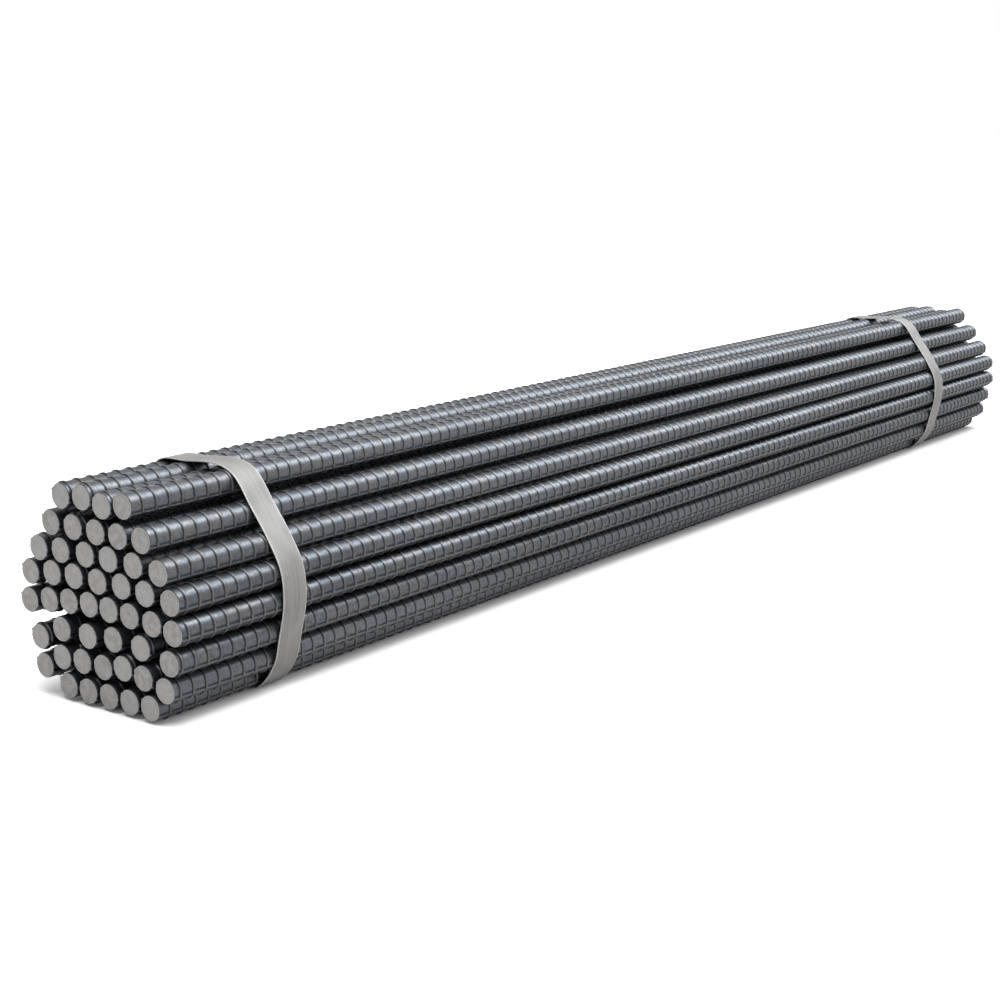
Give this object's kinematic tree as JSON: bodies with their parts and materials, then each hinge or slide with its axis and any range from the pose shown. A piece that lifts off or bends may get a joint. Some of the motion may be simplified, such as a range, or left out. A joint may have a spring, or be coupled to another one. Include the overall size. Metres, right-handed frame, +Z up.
{
  "type": "rebar bundle",
  "caption": "Round bundle of straight ribbed steel reinforcing bars, held near each end by a flat steel strap with a crimped seal.",
  "frame": {"origin": "under the middle of the bundle, on the floor that the straps lie on", "axes": "+X along the bars, from the end with its strap closer to it to the other; +Z up; +Y to the back, where the seals are"},
  "size_m": [1.2, 0.136, 0.1309],
  "materials": {
    "bar_steel": "as rolled, bluish grey with a satin sheen; the cut ends are a lighter matt grey",
    "strap_steel": "bare cold-rolled band, satin, with faint streaks along it",
    "seal_steel": "zinc grey, satin"
  },
  "bodies": {
    "root": {"bar_01": "bar_steel", "bar_02": "bar_steel", "bar_03": "bar_steel", "bar_04": "bar_steel", "bar_05": "bar_steel", "bar_06": "bar_steel", "bar_07": "bar_steel", "bar_08": "bar_steel", "bar_09": "bar_steel", "bar_10": "bar_steel", "bar_11": "bar_steel", "bar_12": "bar_steel", "bar_13": "bar_steel", "bar_14": "bar_steel", "bar_15": "bar_steel", "bar_16": "bar_steel", "bar_17": "bar_steel", "bar_18": "bar_steel", "bar_19": "bar_steel", "bar_20": "bar_steel", "bar_21": "bar_steel", "bar_22": "bar_steel", "bar_23": "bar_steel", "bar_24": "bar_steel", "bar_25": "bar_steel", "bar_26": "bar_steel", "bar_27": "bar_steel", "bar_28": "bar_steel", "bar_29": "bar_steel", "bar_30": "bar_steel", "bar_31": "bar_steel", "bar_32": "bar_steel", "bar_33": "bar_steel", "bar_34": "bar_steel", "bar_35": "bar_steel", "bar_36": "bar_steel", "bar_37": "bar_steel", "bar_38": "bar_steel", "bar_39": "bar_steel", "bar_40": "bar_steel", "bar_41": "bar_steel", "bar_42": "bar_steel", "bar_43": "bar_steel", "bar_44": "bar_steel", "bar_45": "bar_steel", "bar_46": "bar_steel", "bar_47": "bar_steel", "bar_48": "bar_steel", "strap_near": "strap_steel", "strap_far": "strap_steel", "seal_near": "seal_steel", "seal_far": "seal_steel"}
  },
  "joints": []
}
